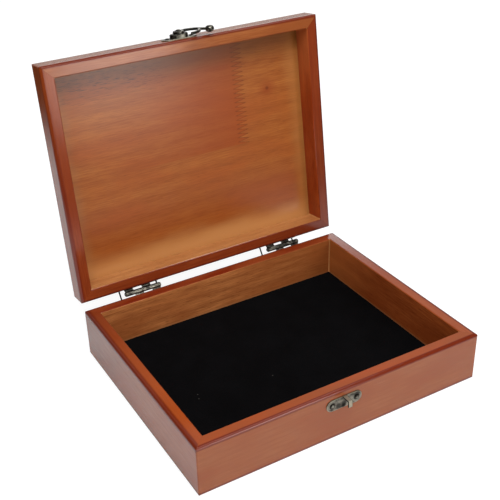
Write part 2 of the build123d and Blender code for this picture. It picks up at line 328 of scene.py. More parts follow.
@dataclass(frozen=True)
class LacqueredWood:
    """Plain-sawn hardwood, stained red-brown and sprayed with satin lacquer.

    It gives long soft figure with fine fibre streaks and short dark pores, under
    a clear skin that reflects pale at a low angle. The stain is redder and
    deeper on the outside and the rims than on the sheltered inside.
    """

    board: str
    grain: Grain
    cut_from: Point
    outside: Stain = OUTSIDE
    inside: Stain = INSIDE
    on_lid: bool = False
    joint: FingerJoint | None = None
    knot: Knot | None = None
    glue: GlueLine = GlueLine()
    fades: tuple[Fade, ...] = ()
    fade_wander: float = 0.9

    # The shut box: the inside's half sizes and heights, and the frames' own.
    inner_half: Pair = (0.1102, 0.0852)
    inner_heights: Pair = (0.0040, 0.0600)
    frame_half: Pair = (0.1200, 0.0950)
    box_heights: Pair = (0.0, 0.0410)
    lid_heights: Pair = (0.0413, 0.0623)

    # The log's axis in the board, and the size of each pattern. Real fibres and
    # pores are too fine to show, so they are drawn coarser.
    log_centre: Point = (0.0, 0.021, 0.034)
    log_tilt: Point = (0.0, radians(1.6), radians(2.4))
    log_stretch: Point = (0.16, 1.0, 1.0)
    ring_spacing: float = 0.0046
    ring_waver: float = 5.5
    fibre_width: float = 0.0008
    fibre_length: float = 0.0150
    blotch_width: float = 0.0220
    blotch_stretch: float = 0.4
    pore_width: float = 0.0005
    pore_stretch: float = 14.0

    # How far each pattern shows.
    figure: float = 0.34
    blotch_ends: Pair = (0.36, 0.64)
    fibre_ends: Pair = (0.3, 0.7)
    pore_ends: Pair = (0.60, 0.72)
    filled_pores: float = 0.12
    open_pores: float = 0.55

    # The stain on the rims, partly painted shade on the back rim, and the painted shade
    # on the rounded edges, in shares of the edge band.
    edge_band: float = 0.0030
    edge_round: Pair = (0.05, 0.45)
    edge_shade: str = "#6A1C07"
    edge_share: float = 0.86
    rim_flat: Pair = (0.4, 0.8)
    rim_stain_and_shade: str = "#A6430B"
    rim_share: float = 0.0
    rim_mottle: Pair = (4.6, -1.3)

    # The lacquer.
    lacquer_roughness: float = 0.14
    wood_roughness: Pair = (0.38, 0.50)
    pore_dip: float = -0.6
    pore_dip_ends: Pair = (0.62, 0.74)
    relief_height: float = 0.0001
    relief_strength: Pair = (0.35, 0.06)

    def make(self, hang: Hang) -> bpy.types.Material:
        """Builds the material.

        Args:
            hang: How the lid hangs, to lay its boards' grain as on the shut box.

        Returns:
            The finished material.
        """
        material, graph = new_material(f"stained_wood_{self.board}")
        here = graph.add("TexCoord")["Object"]
        shut = hang.shut_place(graph, here) if self.on_lid else here
        axes = graph.add("SeparateXYZ", (shut,))
        side, past_comb = self._board_side(graph, axes)
        figure = self._figure(graph, self._board_place(graph, shut, side))
        inside = self._inside(graph, axes)
        at = WoodPoint(graph, axes, inside, *figure, side, past_comb)
        colour = self._stained(at)
        if self.joint is not None:
            colour = self._redden(at, self.joint, colour)
            colour = self._open_corner(at, OpenCorner(), colour)
        colour = self._darken_edges(at, colour)
        colour = self._fade(at, colour)
        colour = self._glue_lines(at, colour)
        if self.knot is not None:
            colour = self._draw_knot(at, self.knot, colour)
        self._lacquer(at, colour)
        return material

    def _board_side(
        self, graph: Graph, axes: Any
    ) -> tuple[Socket | None, Socket | None]:
        """Finds which board of a finger-jointed panel a point is on.

        Args:
            graph: The material's node tree.
            axes: The point's x, y and z on the shut box.

        Returns:
            The board's number, 0 to 2, and the distance past the comb line along
            the grain, or two times None for a plain board.
        """
        joint = self.joint
        if joint is None:
            return None, None
        half = joint.pitch / 2
        comb = graph.add("Math", (axes["Y"], half), operation="PINGPONG")[0]
        teeth = (comb, joint.length / half, -joint.at_x - joint.length / 2)
        reach = graph.add("Math", teeth, operation="MULTIPLY_ADD")[0]
        past = graph.add("Math", (axes["X"], reach), operation="ADD")[0]
        beyond_comb, lower_strip = (
            graph.add("Math", limit, operation="GREATER_THAN")[0]
            for limit in ((past, 0.0), (axes["Y"], joint.strip_edge_y))
        )
        twice = graph.add("Math", (lower_strip, 2.0), operation="MULTIPLY")[0]
        number = graph.add("Math", (beyond_comb, twice), operation="MAXIMUM")[0]
        return number, graph.add("Math", (lower_strip, past), operation="ADD")[0]

    def _board_place(self, graph: Graph, shut: Socket, side: Socket | None) -> Socket:
        """Finds the point in its own board, with x along the grain.

        Args:
            graph: The material's node tree.
            shut: The point's place on the shut box.
            side: The board's number in a finger-jointed panel, or None.

        Returns:
            The place in the log that the board was cut from.
        """
        along_grain = (0.0, 0.0, self.grain.value)
        board = graph.add("Mapping", (shut, self.cut_from, along_grain))[0]
        if side is None:
            return board
        steps = (self.joint.next_board, side, board)
        return graph.add("VectorMath", steps, operation="MULTIPLY_ADD")[0]

    def _figure(self, graph: Graph, board: Socket) -> tuple[Socket, ...]:
        """Draws the wood's own pattern, each part from 0 to 1.

        Args:
            graph: The material's node tree.
            board: The point's place in its board.

        Returns:
            The growth rings, the fibres, the broad blotches and the pores.
        """
        in_log = (board, self.log_centre, self.log_tilt, self.log_stretch)
        rings = {
            "Vector": graph.add("Mapping", in_log)[0],
            "Scale": 2 * pi / (20 * self.ring_spacing),  # 20 radians to the unit
            "Distortion": self.ring_waver,
            "Detail": 3.0,
            "Detail Scale": 0.55,
            "Detail Roughness": 0.55,
        }
        across_log = {"wave_type": "RINGS", "rings_direction": "X"}
        parts = [graph.add("TexWave", rings, **across_log)["Fac"]]
        for along, width, detail in (
            (1 / self.fibre_length, self.fibre_width, 3.0),
            (self.blotch_stretch / self.blotch_width, self.blotch_width, 3.0),
            (1 / (self.pore_stretch * self.pore_width), self.pore_width, 1.0),
        ):
            scales = {"Vector": board, "Scale": (along, 1 / width, 1 / width)}
            place = graph.add("Mapping", scales)[0]
            noise = {"Vector": place, "Scale": 1.0, "Detail": detail}
            parts.append(graph.add("TexNoise", noise)["Fac"])
        return tuple(parts)

    def _inside(self, graph: Graph, axes: Any) -> Socket:
        """Finds the sheltered inside of the box or lid.

        Args:
            graph: The material's node tree.
            axes: The point's x, y and z on the shut box.

        Returns:
            1 on the inside, and 0 on rims and outer faces.
        """
        low, high = self.inner_heights
        length, width = (
            graph.add("Math", (axes[name],), operation="ABSOLUTE")[0] for name in "XY"
        )
        return graph.overlap(
            *(
                graph.add("Math", limit, operation=operation)[0]
                for operation, limit in (
                    ("LESS_THAN", (length, self.inner_half[0])),
                    ("LESS_THAN", (width, self.inner_half[1])),
                    ("GREATER_THAN", (axes["Z"], low)),
                    ("LESS_THAN", (axes["Z"], high)),
                )
            )
        )

    def _stained(self, at: WoodPoint) -> Socket:
        """Stains the figure.

        Args:
            at: The board at the shaded point.

        Returns:
            The stained colour.
        """
        graph = at.graph
        early, late, ruddy, pore = (
            graph.lay(outer, inner, at.inside)
            for outer, inner in zip(astuple(self.outside), astuple(self.inside))
        )
        plain, streaked, pitted = (
            graph.add("MapRange", (pattern, *ends), **SOFT)[0]
            for pattern, ends in (
                (at.blotch, self.blotch_ends),
                (at.fibres, self.fibre_ends),
                (at.pores, self.pore_ends),
            )
        )
        body = graph.lay(ruddy, early, plain)
        grown = (at.rings, self.figure, graph.overlap(streaked, 1.0 - self.figure))
        late_share = graph.add("Math", grown, operation="MULTIPLY_ADD")[0]
        wood = graph.lay(body, late, late_share)
        filled = self.filled_pores
        opened = (at.inside, self.open_pores - filled, filled)
        open_share = graph.add("Math", opened, operation="MULTIPLY_ADD")[0]
        return graph.lay(wood, pore, pitted, open_share)

    def _redden(self, at: WoodPoint, joint: FingerJoint, colour: Socket) -> Socket:
        """Reddens a jointed panel's first board towards its comb joint.

        Args:
            at: The board at the shaded point.
            joint: The comb joint.
            colour: The stained colour so far.

        Returns:
            The colour with a redder board.
        """
        first = at.graph.add("Math", (at.side, 0.0), operation="COMPARE")[0]
        reach = (at.axes["X"], *joint.redder_over)
        near = at.graph.add("MapRange", reach, **SOFT)[0]
        return at.graph.lay(colour, joint.red, first, near, joint.red_share)

    def _open_corner(self, at: WoodPoint, corner: OpenCorner, colour: Socket) -> Socket:
        """Leaves the pores open and dark in one corner of the panel.

        Args:
            at: The board at the shaded point.
            corner: Where and how dark they are.
            colour: The stained colour so far.

        Returns:
            The colour with its open pores.
        """
        shares = (
            at.graph.add("MapRange", (value, *ends), **SOFT)[0]
            for value, ends in (
                (at.pores, corner.pores),
                (at.axes["Y"], corner.from_front),
                (at.axes["X"], corner.from_left),
            )
        )
        return at.graph.lay(colour, corner.shade, *shares)

    def _darken_edges(self, at: WoodPoint, colour: Socket) -> Socket:
        """Stains the flat of the rims, on the back rim partly as painted shade, and
        darkens the rounded outer edges with painted shade, for the sheen that they
        miss.

        Args:
            at: The board at the shaded point.
            colour: The stained colour so far.

        Returns:
            The colour with its edges.
        """
        graph, band = at.graph, self.edge_band
        low, high = self.lid_heights if self.on_lid else self.box_heights
        past = []
        for name, middle, half in (
            ("X", 0.0, self.frame_half[0]),
            ("Y", 0.0, self.frame_half[1]),
            ("Z", (low + high) / 2, (high - low) / 2),
        ):
            away = graph.add("Math", (at.axes[name], middle), operation="SUBTRACT")[0]
            size = graph.add("Math", (away,), operation="ABSOLUTE")[0]
            past.append(graph.add("Math", (size, half - band), operation="SUBTRACT")[0])
        outer = graph.add("Math", past[:2], operation="MAXIMUM")[0]
        both = graph.add("Math", (outer, past[2]), operation="MINIMUM")[0]
        on_rim, rounded = (
            graph.add("MapRange", (reach, *(end * band for end in ends)), **SOFT)[0]
            for reach, ends in ((past[2], self.rim_flat), (both, self.edge_round))
        )
        cloudy = (at.blotch, *(part * self.rim_share for part in self.rim_mottle))
        mottle = graph.add("Math", cloudy, operation="MULTIPLY_ADD")[0]
        outside = graph.add("Math", (1.0, at.inside), operation="SUBTRACT")[0]
        colour = graph.lay(colour, self.rim_stain_and_shade, on_rim, mottle, outside)
        # Painted shade: the rounded outer edges darker, for the sheen that the flat
        # faces catch and they miss.
        return graph.lay(colour, self.edge_shade, rounded, self.edge_share)

    def _fade(self, at: WoodPoint, colour: Socket) -> Socket:
        """Lays the colours that grow towards the sides, some of them painted shade,
        with a cloudy border.

        Args:
            at: The board at the shaded point.
            colour: The stained colour so far.

        Returns:
            The colour with its fades.
        """
        graph = at.graph
        for fade in self.fades:
            wander = self.fade_wander * (fade.end - fade.start)
            border = (at.blotch, wander, at.axes[fade.axis])
            there = graph.add("Math", border, operation="MULTIPLY_ADD")[0]
            ends = (fade.start + wander / 2, fade.end + wander / 2)
            faded = graph.add("MapRange", (there, *ends), **SOFT)[0]
            within = at.inside
            if not fade.inside:
                within = graph.add("Math", (1.0, within), operation="SUBTRACT")[0]
            colour = graph.lay(colour, fade.colour, faded, fade.share, within)
        return colour

    def _glue_lines(self, at: WoodPoint, colour: Socket) -> Socket:
        """Draws the glue line of the mitres, or that of the comb joint.

        Args:
            at: The board at the shaded point.
            colour: The stained colour so far.

        Returns:
            The colour with its glue line.
        """
        graph, glue, joint = at.graph, self.glue, self.joint
        if joint is None:
            sizes = [
                graph.add("Math", (at.axes[name],), operation="ABSOLUTE")[0]
                for name in "XY"
            ]
            mitre = graph.add("Math", sizes, operation="SUBTRACT")[0]
            width, strength = (
                graph.add("Math", (at.inside, more, least), operation="MULTIPLY_ADD")[0]
                for more, least in (
                    (glue.wider_inside, glue.half_width),
                    (glue.more_inside, glue.share),
                )
            )
            line = (mitre, glue.corner, width)
            shade = graph.lay(self.outside.pore, glue.colour, at.inside)
        else:
            line, strength = (at.past_comb, 0.0, joint.line), joint.line_share
            shade = self.inside.pore
        near = graph.add("Math", line, operation="COMPARE")[0]
        return graph.lay(colour, shade, near, strength)

    def _draw_knot(self, at: WoodPoint, knot: Knot, colour: Socket) -> Socket:
        """Draws the knot's halo and its eye.

        Args:
            at: The board at the shaded point.
            knot: The knot.
            colour: The stained colour so far.

        Returns:
            The colour with its knot.
        """
        flat = at.graph.add("CombineXYZ", (at.axes["X"], at.axes["Y"]))[0]
        ends = (flat, (knot.x, knot.y, 0.0))
        off = at.graph.add("VectorMath", ends, operation="DISTANCE")["Value"]
        for reach, depth, shade in (
            (knot.halo, knot.halo_share, knot.ring),
            (knot.eye, knot.eye_share, self.inside.pore),
        ):
            near = at.graph.add("MapRange", (off, *reach), **SOFT)[0]
            colour = at.graph.lay(colour, shade, near, depth)
        return colour

    def _lacquer(self, at: WoodPoint, colour: Socket) -> None:
        """Lays the clear lacquer over the stained wood and closes the material.

        The fibres show through the skin as fine ridges, and it only half fills
        the pores.

        Args:
            at: The board at the shaded point.
            colour: The stained wood's colour.
        """
        graph = at.graph
        dips = graph.add("MapRange", (at.pores, *self.pore_dip_ends), **SOFT)[0]
        rough = (at.fibres, *self.fibre_ends, *self.wood_roughness)
        relief = (dips, self.pore_dip, at.fibres)
        height = graph.add("Math", relief, operation="MULTIPLY_ADD")[0]
        bump = {"Height": height, "Distance": self.relief_height}
        wood_bump, skin_bump = (
            graph.add("Bump", {**bump, "Strength": strength})[0]
            for strength in self.relief_strength
        )
        surface = {
            "Base Color": colour,
            "Roughness": graph.add("MapRange", rough)[0],
            "IOR": 1.5,
            "Specular IOR Level": 0.05,
            "Coat Weight": 1.0,
            "Coat Roughness": self.lacquer_roughness,
            "Coat IOR": 1.5,
            "Normal": wood_bump,
            "Coat Normal": skin_bump,
        }
        graph.add("OutputMaterial", graph.add("BsdfPrincipled", surface))


@dataclass(frozen=True)
class PlateWear:
    """Where a front plate lies on the shut box, and where it is worn and dark."""

    middle: Pair
    half_length: float = 0.0150
    half_width: float = 0.0049
    rim: Pair = (0.0008, 0.00032)  # in from the edge, where the rub starts and is full
    rim_share: float = 0.85
    nail_reach: float = 0.01035
    nail_ring: Pair = (0.0011, 0.0025)
    ring_share: float = 0.9


@dataclass(frozen=True)
class Tongue:
    """The catch's bent tongue, with a painted highlight on its face, painted shade on
    its sides and a painted shadow beside it; the hook rubs its face dull.
    """

    half_widths: Pair = (0.00145, 0.002175)  # of its face, and with its sides
    front_of: float = -0.0961
    # Painted highlight on the tongue's face.
    colour: str = "#B9B29E"
    roughness: float = 0.58
    # Painted shadow of the tongue on the plate beside it.
    painted_shadow: Point = (-0.0008, 0.0, -0.0030)  # from the plate's middle
    painted_shadow_reach: Pair = (0.0024, 0.0010)
    painted_shadow_share: float = 0.95
    painted_shadow_colour: str = "#0C0A07"


@dataclass(frozen=True)
class AntiqueBronze:
    """Stamped steel with an antique bronze plating, darkened and then rubbed bright.

    It gives a grey-brown metal with pale worn highs and almost black hollows.
    """

    name: str = "antique_bronze_plating"
    dark: str = "#403E39"
    bright: str = "#8E8A7E"
    # Patina in the hollows and round the nails; on the catch, also painted shade on the
    # tongue's sides.
    patina_and_shade: str = "#1C1A15"
    worn_rim: str = "#AAA48F"
    cloud: float = 0.0045
    cloud_ends: Pair = (0.40, 0.62)
    grit: float = 0.0007  # drawn coarser than real grit, so that it shows
    grit_height: float = 0.00004
    hollow_depth: float = 0.0030
    hollow_ends: Pair = (0.15, 0.75)
    roughness: Pair = (0.42, 0.28)
    rough_ends: Pair = (0.35, 0.65)
    plate: PlateWear | None = None
    tongue: Tongue | None = None
    on_lid: bool = False

    def make(self, hang: Hang) -> bpy.types.Material:
        """Builds the material.

        Args:
            hang: How the lid hangs, to find the lid's plate on the shut box.

        Returns:
            The finished material.
        """
        material, graph = new_material(self.name)
        here = graph.add("TexCoord")["Object"]
        noises = (
            {"Vector": here, "Scale": 1 / size, "Detail": detail}
            for size, detail in ((self.cloud, 3.0), (self.grit, 2.0))
        )
        clouds, grit = (graph.add("TexNoise", noise)["Fac"] for noise in noises)
        worn = graph.add("MapRange", (clouds, *self.cloud_ends))[0]
        colour = graph.lay(self.dark, self.bright, worn)
        if self.plate is not None:
            shut = hang.shut_place(graph, here) if self.on_lid else here
            colour = self._wear(graph, self.plate, shut, colour)
        crevice = {"Distance": self.hollow_depth, "Color": WHITE}
        open_air = graph.add("AmbientOcclusion", crevice, samples=4, inside=False)
        clear = graph.add("MapRange", (open_air["AO"], *self.hollow_ends))[0]
        colour = graph.lay(self.patina_and_shade, colour, clear)
        rough = (clouds, *self.rough_ends, *self.roughness)
        roughness = graph.add("MapRange", rough)[0]
        if self.tongue is not None:
            # Painted shade on the tongue's sides, and a painted highlight on its face,
            # which the hook also rubs dull.
            face, shaded_tongue = self._on_tongue(graph, self.tongue, here)
            colour = graph.lay(colour, self.patina_and_shade, shaded_tongue)
            colour = graph.lay(colour, self.tongue.colour, face)
            dulled = {0: face, 2: roughness, 3: self.tongue.roughness}
            roughness = graph.add("Mix", dulled, data_type="FLOAT")[0]
        relief = {"Height": grit, "Strength": 0.15, "Distance": self.grit_height}
        surface = {
            "Base Color": colour,
            "Metallic": 1.0,
            "Roughness": roughness,
            "Normal": graph.add("Bump", relief)[0],
        }
        graph.add("OutputMaterial", graph.add("BsdfPrincipled", surface))
        return material

    def _on_tongue(self, graph: Graph, tongue: Tongue, here: Socket) -> list[Socket]:
        """Finds the bent tongue, whose face the arm's hook rubs dull and which has a
        painted highlight.

        Args:
            graph: The material's node tree.
            tongue: The tongue's sizes.
            here: The point's place.

        Returns:
            1 on the face of the tongue, and 1 on its face and its sides.
        """
        axes = graph.add("SeparateXYZ", (here,))
        ahead = (axes["Y"], tongue.front_of)
        clear = graph.add("Math", ahead, operation="LESS_THAN")[0]
        shares = []
        for half in tongue.half_widths:
            strip = (axes["X"], self.plate.middle[0], half)
            on_strip = graph.add("Math", strip, operation="COMPARE")[0]
            shares.append(graph.overlap(on_strip, clear))
        return shares

    def _wear(
        self, graph: Graph, plate: PlateWear, shut: Socket, colour: Socket
    ) -> Socket:
        """Rubs the plate's rim bright, leaves its two nails ringed dark and, on the
        catch, paints the tongue's shadow on the plate beside it.

        Args:
            graph: The material's node tree.
            plate: The plate's place and sizes.
            shut: The point's place on the shut box.
            colour: The metal's colour so far.

        Returns:
            The colour with its wear.
        """
        axes = graph.add("SeparateXYZ", (shut,))
        along, up = (
            graph.add("Math", (axes[name], middle), operation="SUBTRACT")[0]
            for name, middle in zip("XZ", plate.middle)
        )
        reach = graph.add("Math", (along,), operation="ABSOLUTE")[0]
        past_straight, past_nail = (
            graph.add("Math", (reach, length), operation="SUBTRACT")[0]
            for length in (plate.half_length - plate.half_width, plate.nail_reach)
        )
        rounded = graph.add("Math", (past_straight, 0.0), operation="MAXIMUM")[0]
        spots = (graph.add("CombineXYZ", (x, 0.0, up)) for x in (rounded, past_nail))
        from_middle, from_nail = (
            graph.add("VectorMath", spot, operation="LENGTH")["Value"] for spot in spots
        )
        rim = (plate.half_width - end for end in plate.rim)
        worn = graph.add("MapRange", (from_middle, *rim, 0.0, plate.rim_share))[0]
        colour = graph.lay(colour, self.worn_rim, worn)
        inner, outer = plate.nail_ring
        ring = (from_nail, (inner + outer) / 2, (outer - inner) / 2)
        on_ring = graph.add("Math", ring, operation="COMPARE")[0]
        colour = graph.lay(colour, self.patina_and_shade, on_ring, plate.ring_share)
        tongue = self.tongue
        if tongue is None:
            return colour
        # Painted shadow: the plate dark beside the tongue, where the tongue shades it.
        ends = (graph.add("CombineXYZ", (along, 0.0, up))[0], tongue.painted_shadow)
        away = graph.add("VectorMath", ends, operation="DISTANCE")["Value"]
        dark = (away, *tongue.painted_shadow_reach, 0.0, tongue.painted_shadow_share)
        shadowed = graph.add("MapRange", dark)[0]
        return graph.lay(colour, tongue.painted_shadow_colour, shadowed)


@dataclass(frozen=True)
class BlackenedWire:
    """Drawn steel wire, blackened: dark, with fine scratches and a dull shine."""

    name: str = "blackened_steel_wire"
    dark: str = "#141413"
    rubbed: str = "#2E2C29"
    scratch: float = 0.0005  # drawn coarser than real ones, so that they show
    scratch_depth: float = 0.00004

    def make(self) -> bpy.types.Material:
        """Builds the material.

        Returns:
            The finished material.
        """
        material, graph = new_material(self.name)
        here = graph.add("TexCoord")["Object"]
        noise = {"Vector": here, "Scale": 1 / self.scratch, "Detail": 3.0}
        scratches = graph.add("TexNoise", noise)["Fac"]
        relief = {"Height": scratches, "Strength": 0.2, "Distance": self.scratch_depth}
        surface = {
            "Base Color": graph.lay(self.dark, self.rubbed, scratches),
            "Metallic": 1.0,
            "Roughness": 0.42,
            "Normal": graph.add("Bump", relief)[0],
        }
        graph.add("OutputMaterial", graph.add("BsdfPrincipled", surface))
        return material


@dataclass(frozen=True)
class BlackFelt:
    """Pressed wool felt, dyed black: matt, faintly cloudy, with specks of lint."""

    name: str = "black_wool_felt"
    shade: str = "#060607"
    raised: str = "#0B0B0D"
    lint: str = "#474541"
    fibre: float = 0.0009  # drawn coarser than real wool, so that it shows
    cloud: float = 1 / 45
    pile_ends: Pair = (0.12, 0.42)
    pile_height: float = 0.0003
    specks: tuple[Pair, ...] = (
        (-0.0747, -0.0083),
        (-0.0763, -0.0133),
        (-0.0150, -0.0187),
    )
    speck_reach: float = 0.00045
    top: float = 0.0075

    def make(self) -> bpy.types.Material:
        """Builds the material.

        Returns:
            The finished material.
        """
        material, graph = new_material(self.name)
        here = graph.add("TexCoord")["Object"]
        fibres, clouds = (
            graph.add("TexNoise", {"Vector": here, "Scale": 1 / size, **rest})["Fac"]
            for size, rest in (
                (self.fibre, {"Detail": 5.0, "Distortion": 1.2}),
                (self.cloud, {"Detail": 2.0}),
            )
        )
        pile = (graph.overlap(fibres, clouds), *self.pile_ends)
        raised = graph.add("MapRange", pile)[0]
        colour = graph.lay(self.shade, self.raised, raised)
        for x, y in self.specks:
            ends = (here, (x, y, self.top))
            away = graph.add("VectorMath", ends, operation="DISTANCE")["Value"]
            speck = (away, self.speck_reach)
            near = graph.add("Math", speck, operation="LESS_THAN")[0]
            colour = graph.lay(colour, self.lint, near)
        relief = {"Height": fibres, "Strength": 0.6, "Distance": self.pile_height}
        surface = {
            "Base Color": colour,
            "Roughness": 0.95,
            "Specular IOR Level": 0.06,
            "Normal": graph.add("Bump", relief)[0],
        }
        graph.add("OutputMaterial", graph.add("BsdfPrincipled", surface))
        return material


@dataclass(frozen=True)
class GreyCard:
    """Uncoated grey board: matt, with flecks of pulp."""

    name: str = "grey_card"
    pale: str = "#9A8E7C"
    fleck: str = "#6B6154"
    fleck_size: float = 1 / 900
    fleck_height: float = 0.0001

    def make(self) -> bpy.types.Material:
        """Builds the material.

        Returns:
            The finished material.
        """
        material, graph = new_material(self.name)
        here = graph.add("TexCoord")["Object"]
        noise = {"Vector": here, "Scale": 1 / self.fleck_size, "Detail": 4.0}
        pulp = graph.add("TexNoise", noise)["Fac"]
        relief = {"Height": pulp, "Strength": 0.3, "Distance": self.fleck_height}
        surface = {
            "Base Color": graph.lay(self.fleck, self.pale, pulp),
            "Roughness": 0.85,
            "Normal": graph.add("Bump", relief)[0],
        }
        graph.add("OutputMaterial", graph.add("BsdfPrincipled", surface))
        return material


@dataclass
class Boards:
    """A group of boards, each of its own piece of wood."""

    nodes: dict[str, bpy.types.Object]
    hang: Hang
    woods: tuple[LacqueredWood, ...] = ()

    def dress_all(self) -> None:
        """Gives each board its own piece of wood."""
        for wood in self.woods:
            dress(self.nodes[wood.board], wood.make(self.hang))


@dataclass
class Tray(Boards):
    """The lower box: four mitred walls on a bottom board."""

    woods: tuple[LacqueredWood, ...] = (
        LacqueredWood(
            "box_front_wall",
            Grain.LENGTHWISE,
            (0.31, 0.071, 0.012),
            FRONT_FACE,
            edge_band=0.0034,
            rim_share=0.55,
        ),
        LacqueredWood(
            "box_back_wall",
            Grain.LENGTHWISE,
            (1.43, 0.016, 0.027),
            fades=(PALE_AT_FOOT, DARK_AT_RIGHT),
            rim_stain_and_shade="#7A2406",
            # Painted shade in part: the back rim's darker red is partly its stain and
            # partly stands in for the open lid's shadow.
            rim_share=0.60,
        ),
        LacqueredWood(
            "box_left_wall",
            Grain.CROSSWISE,
            (2.17, 0.047, 0.018),
            inside=SHADED_INSIDE,
            edge_band=0.0048,
            fades=(LID_SHADE_AT_BACK,),
            rim_share=0.45,
        ),
        LacqueredWood(
            "box_right_wall",
            Grain.CROSSWISE,
            (3.61, 0.033, 0.009),
            inside=SHADED_INSIDE,
            edge_band=0.0040,
            fades=(PALER_AT_BACK, PALE_AT_FOOT, LID_SHADE_AT_BACK),
            rim_share=0.20,
        ),
        LacqueredWood(
            "bottom_board",
            Grain.LENGTHWISE,
            (4.29, 0.052, 0.041),
            FRONT_FACE,
            SHADED_INSIDE,
        ),
    )


@dataclass
class Lid(Boards):
    """The lid: four mitred walls under a glued-up panel."""

    woods: tuple[LacqueredWood, ...] = (
        LacqueredWood(
            "lid_front_wall",
            Grain.LENGTHWISE,
            (5.33, 0.062, 0.022),
            LID_TOP,
            DEEP_INSIDE,
            on_lid=True,
        ),
        LacqueredWood(
            "lid_back_wall",
            Grain.LENGTHWISE,
            (6.11, 0.024, 0.037),
            LID_RIM,
            HONEY_INSIDE,
            on_lid=True,
            fades=(DARK_RIM_AT_RIGHT,),
        ),
        LacqueredWood(
            "lid_left_wall",
            Grain.CROSSWISE,
            (7.47, 0.055, 0.014),
            LID_RIM,
            DEEP_INSIDE,
            on_lid=True,
            edge_band=0.0042,
            fades=(WARM_AT_TOP,),
        ),
        LacqueredWood(
            "lid_right_wall",
            Grain.CROSSWISE,
            (8.19, 0.038, 0.031),
            LID_RIM,
            DEEP_INSIDE,
            on_lid=True,
            fades=(PALER_AT_TOP, DARK_AT_FOOT),
        ),
        LacqueredWood(
            "lid_panel",
            Grain.LENGTHWISE,
            (9.07, 0.029, -0.031),
            inside=PANEL_INSIDE,
            on_lid=True,
            joint=FingerJoint(),
            knot=Knot(),
            ring_spacing=0.0120,
            blotch_width=0.0300,
            open_pores=0.28,
            lacquer_roughness=0.22,
            fades=PANEL_TONES_AND_SHADE,
            edge_share=0.0,
        ),
    )


@dataclass
class Lining:
    """The floor lining: a sheet of felt laid on a card."""

    nodes: dict[str, bpy.types.Object]
    length: float = 0.2194
    width: float = 0.1694
    thickness: float = 0.0015
    base: float = 0.0061
    ripple: float = 0.00012
    ripple_length: float = 0.03
    edge_round: float = 0.0004
    edge_tolerance: float = 0.0001

    def lay_felt(self) -> bpy.types.Object:
        """Cuts the felt and lays it on the card.

        Returns:
            The felt sheet.
        """
        bpy.ops.object.select_all(action="DESELECT")
        bpy.ops.mesh.primitive_grid_add(
            x_subdivisions=110,
            y_subdivisions=85,
            size=1.0,
            location=(0, 0, self.base + self.thickness - self.ripple),
        )
        felt = bpy.context.object
        felt.name = "felt_sheet"
        felt.scale = (self.length, self.width, 1.0)
        bpy.ops.object.transform_apply(location=True, rotation=True, scale=True)
        clouds = bpy.data.textures.new("felt_ripple", "CLOUDS")
        clouds.noise_scale = self.ripple_length
        waves = felt.modifiers.new("ripple", "DISPLACE")
        waves.texture = clouds
        waves.texture_coords = "LOCAL"
        waves.direction = "Z"
        waves.strength = 2 * self.ripple
        waves.mid_level = 0.5
        body = felt.modifiers.new("body", "SOLIDIFY")
        body.thickness = self.thickness - 2 * self.ripple
        body.offset = -1.0
        for modifier in ("ripple", "body"):
            bpy.ops.object.modifier_apply(modifier=modifier)
        self._soften_edges(felt)
        bpy.ops.object.shade_smooth_by_angle(angle=radians(50))
        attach(felt, "box")
        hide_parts("felt_lining")
        return felt

    def _soften_edges(self, felt: bpy.types.Object) -> None:
        """Rounds the cut edge where it meets the top face.

        Args:
            felt: The felt sheet.
        """
        edge_x = self.length / 2 - self.edge_tolerance
        edge_y = self.width / 2 - self.edge_tolerance
        top = self.base + self.thickness / 2
        bpy.ops.object.mode_set(mode="EDIT")
        bpy.ops.mesh.select_all(action="DESELECT")
        bpy.ops.object.mode_set(mode="OBJECT")
        points = felt.data.vertices
        for edge in felt.data.edges:
            ends = [points[at].co for at in edge.vertices]
            on_side = all(abs(end.x) > edge_x for end in ends) or all(
                abs(end.y) > edge_y for end in ends
            )
            edge.select = on_side and all(end.z > top for end in ends)
        bpy.ops.object.mode_set(mode="EDIT")
        bpy.ops.mesh.bevel(offset=self.edge_round, segments=3, affect="EDGES")
        bpy.ops.object.mode_set(mode="OBJECT")

    def dress_all(self) -> None:
        """Lays and dresses the felt, and dresses the card under it."""
        dress(self.lay_felt(), BlackFelt().make())
        dress(self.nodes["lining_card"], GreyCard().make())


@dataclass
class Hardware:
    """The hinges with their stays and the latch."""

    nodes: dict[str, bpy.types.Object]
    hang: Hang
    catch_middle: Pair = (-0.0035, 0.0304)
    latch_middle: Pair = (-0.0035, 0.0495)
    plated: tuple[str, ...] = (
        "left_hinge_box_leaf",
        "right_hinge_box_leaf",
        "left_hinge_lid_leaf",
        "right_hinge_lid_leaf",
        "left_hinge_pin",
        "right_hinge_pin",
        "box_hinge_nails",
        "lid_hinge_nails",
        "latch_rivet",
        "latch_arm",
    )
    catch: tuple[str, ...] = ("catch_plate", "catch_plate_nails")
    latch: tuple[str, ...] = ("latch_plate", "latch_plate_nails")
    stays: tuple[str, ...] = ("left_stay_wire", "right_stay_wire")

    def dress_all(self) -> None:
        """Plates the hinges and the latch, and blackens the stays."""
        catch_bronze = AntiqueBronze(
            "antique_bronze_catch", plate=PlateWear(self.catch_middle), tongue=Tongue()
        )
        latch_bronze = AntiqueBronze(
            "antique_bronze_latch", plate=PlateWear(self.latch_middle), on_lid=True
        )
        for names, material in (
            (self.plated, AntiqueBronze().make(self.hang)),
            (self.catch, catch_bronze.make(self.hang)),
            (self.latch, latch_bronze.make(self.hang)),
            (self.stays, BlackenedWire().make()),
        ):
            for name in names:
                dress(self.nodes[name], material)


